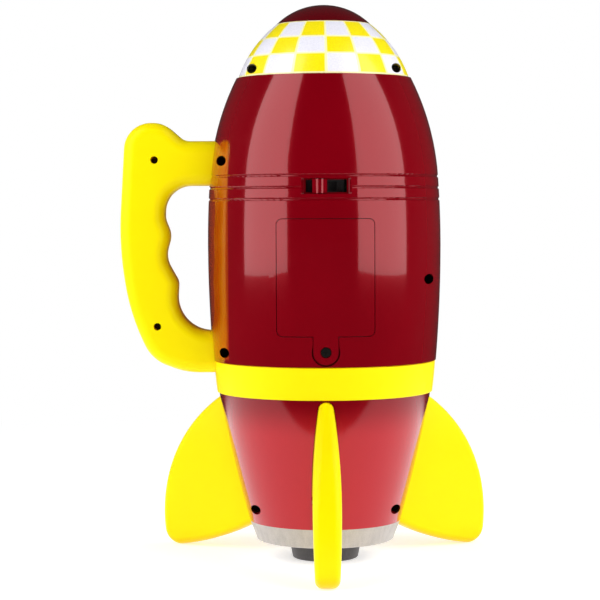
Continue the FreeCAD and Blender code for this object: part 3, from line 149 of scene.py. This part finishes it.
class Graph:
    """Shader nodes of one material, light or world, with short ways to add them."""

    def __init__(self, owner):
        owner.use_nodes = True
        self.tree = owner.node_tree
        self.tree.nodes.clear()

    def add(self, kind, inputs=None, **settings):
        node = self.tree.nodes.new(kind)
        for name, value in settings.items():
            setattr(node, name, value)
        for name, value in (inputs or {}).items():
            self.feed(node.inputs[name], value)
        return node

    def feed(self, socket, value):
        if isinstance(value, bpy.types.NodeSocket):
            self.tree.links.new(value, socket)
        elif isinstance(value, tuple) and socket.type == "RGBA":
            socket.default_value = (*value, 1.0)
        else:
            socket.default_value = value

    def math(self, operation, *values):
        node = self.add("ShaderNodeMath", operation=operation)
        for socket, value in zip(node.inputs, values):
            self.feed(socket, value)
        return node.outputs[0]

    def mix(self, share, first, second):
        node = self.add("ShaderNodeMix", data_type="RGBA")
        self.feed(node.inputs[0], share)
        self.feed(node.inputs[6], first)
        self.feed(node.inputs[7], second)
        return node.outputs[2]

    def place(self):
        """x, y, z of the point in its object's own frame."""
        spot = self.add("ShaderNodeTexCoord").outputs["Object"]
        split = self.add("ShaderNodeSeparateXYZ", {0: spot})
        return split.outputs[0], split.outputs[1], split.outputs[2]

    def stretched(self, x=1.0, y=1.0, z=1.0):
        spot = self.add("ShaderNodeTexCoord").outputs["Object"]
        return self.add("ShaderNodeMapping", {"Vector": spot, "Scale": (x, y, z)}).outputs[0]

    def noise(self, scale, vector=None, detail=3.0, roughness=0.5):
        inputs = {"Vector": vector or self.stretched(), "Scale": scale, "Detail": detail,
                  "Roughness": roughness}
        return self.add("ShaderNodeTexNoise", inputs).outputs[0]

    def span(self, value, low, high, start=0.0, finish=1.0):
        """Value mapped from low..high to start..finish and held there."""
        inputs = {"Value": value, "From Min": low, "From Max": high, "To Min": start,
                  "To Max": finish}
        return self.add("ShaderNodeMapRange", inputs).outputs[0]

    def smooth_step(self, value, low, high):
        node = self.add("ShaderNodeMapRange", {"Value": value, "From Min": low, "From Max": high},
                        interpolation_type="SMOOTHSTEP")
        return node.outputs[0]

    def bump(self, height, depth, strength, normal=None):
        inputs = {"Height": height, "Distance": depth, "Strength": strength}
        node = self.add("ShaderNodeBump", inputs)
        if normal is not None:
            self.feed(node.inputs["Normal"], normal)
        return node.outputs[0]

    def shade(self, **inputs):
        named = {name.replace("_", " "): value for name, value in inputs.items()}
        shader = self.add("ShaderNodeBsdfPrincipled", named)
        self.output(shader.outputs[0])

    def output(self, shader, kind="Material"):
        self.add(f"ShaderNodeOutput{kind}", {"Surface": shader})


def new_material(name):
    material = bpy.data.materials.new(name)
    return material, Graph(material)


def scaled(tint, factor):
    return tuple(channel * factor for channel in tint)


def add_object(name, data):
    item = bpy.data.objects.new(name, data)
    bpy.context.scene.collection.objects.link(item)
    return item


# Plastics

def moulded_bump(graph, fine=0.000012, broad=0.00022):
    """Slow waves of a cooled moulding under a very fine tooth."""
    waves = graph.bump(graph.noise(26, detail=1.0), broad, 0.35)
    return graph.bump(graph.noise(900), fine, 0.5, waves)


def scuffs(graph):
    """Few fine rubbed places, 0 to 1."""
    rubbed = graph.noise(60, graph.stretched(1, 1, 0.35), 6.0, 0.7)
    return graph.smooth_step(rubbed, 0.58, 0.75)


def red_shader(name, tint, lit_strap):
    """Deep red plastic with a tinted inner reflection under a clear one.

    With lit_strap it is the shell: a painted sheen makes it paler under the belt, and it glows
    where the strap is behind it.
    """
    material, graph = new_material(name)
    x, _, z = graph.place()
    cloud = graph.span(graph.noise(14, detail=4.0), 0.3, 0.7)
    colour = graph.mix(cloud, tint, scaled(tint, 1.18))
    if lit_strap:
        # Painted sheen: below the belt the shell is mixed towards a paler red, for the floor it
        # reflects
        belt_low, ring_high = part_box("belt_back")[0].z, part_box("tail_ring")[1].z
        under_belt = graph.smooth_step(z, belt_low, (belt_low * 2 + ring_high) / 3)
        colour = graph.mix(under_belt, colour, PAINTED_TAIL_SHEEN)
        handle_low, handle_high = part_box("handle_back")
        strap_low, strap_high = handle_low.z + STRAP_RISE, handle_high.z - STRAP_DROP
        side = graph.smooth_step(x, handle_high.x + 0.0003, handle_high.x - 0.0006)
        above = graph.smooth_step(z, strap_low - STRAP_SOFTNESS, strap_low + STRAP_SOFTNESS)
        below = graph.smooth_step(z, strap_high + STRAP_SOFTNESS, strap_high - STRAP_SOFTNESS)
        shown = graph.math("MULTIPLY", side, graph.math("MULTIPLY", above, below))
        off_middle = graph.math("ABSOLUTE", graph.math("SUBTRACT", z, (strap_low + strap_high) / 2))
        near_arm = graph.smooth_step(off_middle, STRAP_ARM_FROM, STRAP_ARM_FULL)
        glow = graph.mix(near_arm, STRAP_GLOW, scaled(STRAP_GLOW, 1.25))
        colour = graph.mix(graph.math("MULTIPLY", shown, STRAP_SHARE), colour, glow)
    roughness = graph.span(scuffs(graph), 0, 1, 0.14, 0.24)
    graph.shade(Base_Color=colour, Roughness=roughness, Normal=moulded_bump(graph),
                Specular_IOR_Level=0.9, Specular_Tint=(1.0, 0.12, 0.14), Coat_Weight=0.8,
                Coat_Roughness=graph.span(scuffs(graph), 0, 1, 0.035, 0.12), Coat_IOR=1.42)
    return material


def yellow_shader(name, roughness=0.36):
    """Opaque yellow plastic, with amber shade painted where other surfaces stand close to it."""
    material, graph = new_material(name)
    # Painted shade: amber mixed in where ambient occlusion finds other surfaces within 2 cm
    nearby = graph.add("ShaderNodeAmbientOcclusion", {"Distance": 0.02}, samples=6)
    painted_shade = graph.span(nearby.outputs["AO"], 0.3, 0.75, 0.75, 0.0)
    cloud = graph.span(graph.noise(20, detail=4.0), 0.3, 0.7)
    colour = graph.mix(painted_shade, graph.mix(cloud, YELLOW, scaled(YELLOW, 0.95)), AMBER_PAINTED_SHADE)
    worn = graph.span(scuffs(graph), 0, 1, roughness, roughness + 0.12)
    graph.shade(Base_Color=colour, Roughness=worn,
                Normal=moulded_bump(graph, 0.00003, 0.00015), Specular_IOR_Level=0.28,
                Specular_Tint=(1.0, 0.9, 0.2), Subsurface_Weight=0.12,
                Subsurface_Radius=(0.004, 0.0025, 0.0004), Subsurface_Scale=0.5,
                Coat_Weight=0.05, Coat_Roughness=0.22)
    return material


def checker_shader():
    """Printed squares round the nose, with pale lines between and a pale rim by the shell."""
    low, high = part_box("shell_back")[1].z + SQUARE_RIM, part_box("nose_back")[1].z
    material, graph = new_material("nose_checker")
    x, y, z = graph.place()
    round_nose = graph.math("ARCTAN2", x, graph.math("MULTIPLY", y, -1.0))
    angle = graph.math("SUBTRACT", round_nose, SQUARES_TURN)
    column = graph.math("MULTIPLY", angle, SQUARE_COLUMNS / math.tau)
    level = graph.math("POWER", graph.span(z, low, high), SQUARE_ROW_GROWTH)
    row = graph.math("MULTIPLY", level, SQUARE_ROWS)
    parity = graph.math("ADD", graph.math("FLOOR", column), graph.math("FLOOR", row))
    yellow = graph.math("PINGPONG", parity, 1.0)

    def line(value, width):
        to_line = graph.math("PINGPONG", value, 0.5)
        return graph.math("SUBTRACT", 1.0, graph.smooth_step(to_line, width * 0.6, width * 1.2))

    lines = graph.math("MAXIMUM", line(column, COLUMN_LINE), line(row, ROW_LINE))
    rim = graph.math("LESS_THAN", z, low)
    dots = graph.span(graph.noise(1400, detail=1.0), 0.35, 0.65, 0.94, 1.03)
    squares = graph.mix(yellow, SQUARE_WHITE, SQUARE_YELLOW)
    printed = graph.mix(graph.math("MAXIMUM", lines, rim), squares, SQUARE_LINE)
    ink = graph.add("ShaderNodeHueSaturation", {"Color": printed, "Value": dots}).outputs[0]
    edge = graph.bump(lines, 0.00004, 0.4, moulded_bump(graph))
    graph.shade(Base_Color=ink, Roughness=0.3, Normal=edge, Coat_Weight=0.3, Coat_Roughness=0.12,
                Subsurface_Weight=0.06, Subsurface_Radius=(0.003, 0.003, 0.002),
                Subsurface_Scale=0.4)
    return material


def silver_shader():
    """Silver-grey plastic with faint upright flow marks."""
    material, graph = new_material("silver_plastic")
    streak = graph.span(graph.noise(420, graph.stretched(1, 1, 0.06), 4.0), 0.3, 0.7)
    fleck = graph.span(graph.noise(2200, detail=1.0), 0.4, 0.7)
    colour = graph.mix(graph.math("MULTIPLY", streak, 0.6), SILVER, scaled(SILVER, 0.72))
    colour = graph.mix(graph.math("MULTIPLY", fleck, 0.25), colour, SILVER_FLECK)
    graph.shade(Base_Color=colour, Roughness=graph.span(streak, 0, 1, 0.38, 0.5), Metallic=0.25,
                Normal=graph.bump(streak, 0.00004, 0.4))
    return material


def satin_shader(name, tint, roughness=0.45, grain=700):
    """Textured moulded plastic or paper, with grains a little lighter than its tint."""
    material, graph = new_material(name)
    spark = graph.span(graph.noise(grain, detail=4.0), 0.35, 0.65)
    colour = graph.mix(spark, tint, tuple(channel * 1.35 + 0.004 for channel in tint))
    graph.shade(Base_Color=colour, Roughness=graph.span(spark, 0, 1, roughness, roughness + 0.12),
                Normal=graph.bump(spark, 0.00006, 0.5))
    return material


# Metals, cells and boards

def metal_shader(name, tint, roughness, grain=300):
    """Plated steel with rubbed, slightly darker grain."""
    material, graph = new_material(name)
    grainy = graph.span(graph.noise(grain, graph.stretched(1, 0.15, 1), 5.0), 0.3, 0.7)
    colour = graph.mix(grainy, tint, scaled(tint, 0.68))
    graph.shade(Base_Color=colour, Metallic=1.0, Normal=graph.bump(grainy, 0.00002, 0.5),
                Roughness=graph.span(grainy, 0, 1, roughness, roughness + 0.15))
    return material


def cell_shader(name, node):
    """Sleeve in two plain colours with a pale ring, and bare steel at both ends."""
    low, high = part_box(node)
    material, graph = new_material(name)
    _, _, z = graph.place()
    # The middle cell stands the other way up
    level = graph.span(z, high.z, low.z) if node == "battery_2" else graph.span(z, low.z, high.z)
    band = graph.smooth_step(level, CELL_BAND, CELL_BAND + CELL_PRINT_EDGE)
    past_ring = graph.smooth_step(level, CELL_RING_TOP, CELL_RING_TOP + CELL_PRINT_EDGE)
    ring = graph.math("MULTIPLY", band, graph.math("SUBTRACT", 1.0, past_ring))
    colour = graph.mix(ring, graph.mix(band, CELL_DARK, CELL_COPPER), CELL_PALE)
    bare = graph.math("MAXIMUM", graph.math("GREATER_THAN", level, CELL_NUB),
                      graph.math("LESS_THAN", level, CELL_FOOT))
    colour = graph.mix(bare, colour, CELL_STEEL)
    graph.shade(Base_Color=colour, Metallic=graph.span(bare, 0, 1, 0.55, 1.0),
                Roughness=graph.span(graph.noise(500), 0.3, 0.7, 0.26, 0.4),
                Normal=graph.bump(graph.noise(120), 0.00003, 0.3))
    return material


def board_shader():
    """Green solder mask over straight copper tracks."""
    material, graph = new_material("circuit_green")
    x, _, z = graph.place()
    upright = graph.math("PINGPONG", graph.math("MULTIPLY", x, TRACKS_ACROSS), 0.5)
    level = graph.math("PINGPONG", graph.math("MULTIPLY", z, TRACKS_UP), 0.5)
    choose = graph.math("GREATER_THAN", graph.noise(55, detail=0.0), 0.5)
    track = graph.mix(choose, graph.smooth_step(upright, 0.3, 0.33),
                      graph.smooth_step(level, 0.32, 0.35))
    graph.shade(Base_Color=graph.mix(track, BOARD_MASK, BOARD_TRACK), Roughness=0.32,
                Normal=graph.bump(track, 0.00004, 0.6), Coat_Weight=0.4)
    return material


# Nodes of the frame

def materials():
    """Material of each slot, and of the nodes that show something more."""
    made = {
        "red_plastic": red_shader("red_plastic", RED, False),
        "yellow_plastic": yellow_shader("yellow_plastic"),
        "nose_checker": checker_shader(),
        "silver_plastic": silver_shader(),
        "black_plastic": satin_shader("black_plastic", BLACK),
        "tray_plastic": satin_shader("tray_plastic", TRAY_BLACK, 0.5),
        "button_plastic": yellow_shader("button_plastic", 0.2),
        "screw_steel": metal_shader("screw_steel", SCREW_STEEL, 0.4),
        "plated_steel": metal_shader("plated_steel", PLATED_STEEL, 0.22),
        "circuit_green": board_shader(),
        "speaker_paper": satin_shader("speaker_paper", SPEAKER_BLACK, 0.85, 1600),
    }
    special = {
        "shell_back": red_shader("red_shell", RED, True),
        "nose_cap": red_shader("red_cap", DARK_RED, False),
    }
    special["shell_front"] = special["shell_back"]
    for index in (1, 2, 3):
        special[f"battery_{index}"] = cell_shader(f"battery_sleeve_{index}", f"battery_{index}")
    return made, special


def dress_nodes():
    """Every CAD node gets its own material or else its slot's."""
    by_slot, by_node = materials()
    for part in frame["record"]["subparts"]:
        node = frame["nodes"][part["node"]]
        material = by_node.get(node.name) or by_slot[part["material_slot"]]
        node.data.materials.clear()
        node.data.materials.append(material)


def make_press_spring():
    """Copy of the button spring with a mesh of its own, fixed to the rocket in place of the CAD
    node.
    """
    node = frame["nodes"]["button_spring"]
    spring = add_object("press_spring", node.data.copy())
    spring.matrix_world = node.matrix_world.copy()
    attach(spring, "rocket")
    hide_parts("button_spring")
    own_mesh(spring)


# Stage

def make_floor():
    """Round pale floor that turns to plain white away from the rocket."""
    angles = [math.tau * i / FLOOR_CORNERS for i in range(FLOOR_CORNERS)]
    ring = [(FLOOR_REACH * math.cos(angle), FLOOR_REACH * math.sin(angle), 0.0) for angle in angles]
    mesh = bpy.data.meshes.new("floor")
    mesh.from_pydata(ring, [], [tuple(range(FLOOR_CORNERS))])
    floor = add_object("floor", mesh)
    material, graph = new_material("floor_paper")
    x, y, _ = graph.place()
    squares = graph.math("ADD", graph.math("MULTIPLY", x, x), graph.math("MULTIPLY", y, y))
    radius = graph.math("SQRT", squares)
    far = graph.smooth_step(radius, PAPER_TO, WHITE_FROM)
    tooth = graph.span(graph.noise(90, detail=5.0), 0.3, 0.7, 0.985, 1.0)
    paper = graph.add("ShaderNodeHueSaturation", {"Color": PAPER, "Value": tooth}).outputs[0]
    matte = graph.add("ShaderNodeBsdfDiffuse", {"Color": paper}).outputs[0]
    glow = graph.add("ShaderNodeEmission", {"Color": WHITE, "Strength": 1.0}).outputs[0]
    lit = graph.add("ShaderNodeEmission", {"Color": WHITE, "Strength": FLOOR_LIFT}).outputs[0]
    near = graph.add("ShaderNodeAddShader", {0: matte, 1: lit}).outputs[0]
    paper_side = graph.add("ShaderNodeMixShader", {"Fac": far, 1: near, 2: glow}).outputs[0]
    on_card = graph.math("MULTIPLY", graph.smooth_step(radius, CARD_FADED, CARD_RADIUS),
                         graph.smooth_step(y, CARD_EDGE - CARD_SOFTNESS, CARD_EDGE + CARD_SOFTNESS))
    card_light = graph.span(on_card, 0, 1, CARD_DARK, CARD_GLOW)
    card = graph.add("ShaderNodeEmission", {"Color": WHITE, "Strength": card_light}).outputs[0]
    mirrored = graph.add("ShaderNodeLightPath").outputs["Is Glossy Ray"]
    both = graph.add("ShaderNodeMixShader", {"Fac": mirrored, 1: paper_side, 2: card}).outputs[0]
    graph.output(both)
    mesh.materials.append(material)


def make_panel(name, turn, distance, low, high, width, radiance, mirrored):
    """Upright soft panel that faces the rocket's axis, turned round it from the camera side."""
    light = bpy.data.lights.new(name, "AREA")
    light.shape = "RECTANGLE"
    light.size = width
    light.size_y = high - low
    light.energy = radiance * math.pi * width * (high - low)
    lamp = add_object(name, light)
    lamp.location = (distance * math.sin(turn), -distance * math.cos(turn), (low + high) / 2)
    lamp.rotation_euler = (math.pi / 2, 0, turn)
    lamp.visible_camera = False
    lamp.visible_glossy = mirrored


def make_lights():
    # Name, turn in degrees, distance, low and high edge, width, radiance, seen in reflections
    panels = (
        ("key_left", -59.2, 0.9, 0.1, 1.75, 0.79, 2.7, True),
        ("key_right", 58, 0.9, 0.1, 1.75, 0.9, 2.5, True),
        ("side_left", -112, 1.1, 0.0, 1.0, 0.9, 1.5, False),
        ("side_right", 112, 1.1, 0.0, 1.0, 0.9, 2.2, False),
    )
    for name, turn, distance, low, high, width, radiance, mirrored in panels:
        make_panel(name, math.radians(turn), distance, low, high, width, radiance, mirrored)


def make_world():
    """White for the camera. Dim for other rays, darker on the camera side and in reflections."""
    world = bpy.data.worlds.new("studio")
    bpy.context.scene.world = world
    graph = Graph(world)
    way = graph.add("ShaderNodeTexCoord").outputs["Generated"]
    split = graph.add("ShaderNodeSeparateXYZ", {0: way})
    behind = graph.smooth_step(split.outputs[1], WORLD_TURN_FROM, WORLD_TURN_TO)
    grey = graph.span(behind, 0, 1, WORLD_NEAR, WORLD_BEHIND)
    ray = graph.add("ShaderNodeLightPath")
    mirrored = graph.math("MULTIPLY", ray.outputs["Is Glossy Ray"], 1.0 - MIRRORED_WORLD)
    dim = graph.math("MULTIPLY", grey, graph.math("SUBTRACT", 1.0, mirrored))
    seen = ray.outputs["Is Camera Ray"]
    unseen = graph.math("SUBTRACT", 1.0, seen)
    strength = graph.math("ADD", graph.math("MULTIPLY", dim, unseen), seen)
    glow = graph.add("ShaderNodeBackground", {"Color": WHITE, "Strength": strength}).outputs[0]
    graph.output(glow, "World")


def make_camera():
    data = bpy.data.cameras.new("camera")
    data.lens = FOCAL_LENGTH_MM
    data.sensor_width = SENSOR_MM
    data.clip_start = 0.05
    data.clip_end = 60
    camera = add_object("camera", data)
    spot = Vector((EYE_DISTANCE * math.sin(EYE_TURN), -EYE_DISTANCE * math.cos(EYE_TURN),
                   EYE_HEIGHT))
    turn = Matrix.Rotation(EYE_TURN + LOOK_LEFT, 4, "Z")
    tilt = Matrix.Rotation(math.pi / 2 - LOOK_DOWN, 4, "X")
    roll = Matrix.Rotation(ROLL, 4, "Z")
    camera.matrix_world = Matrix.Translation(spot) @ turn @ tilt @ roll
    bpy.context.scene.camera = camera


bpy.context.scene.view_settings.view_transform = "Standard"
dress_nodes()
make_press_spring()
make_floor()
make_lights()
make_world()
make_camera()
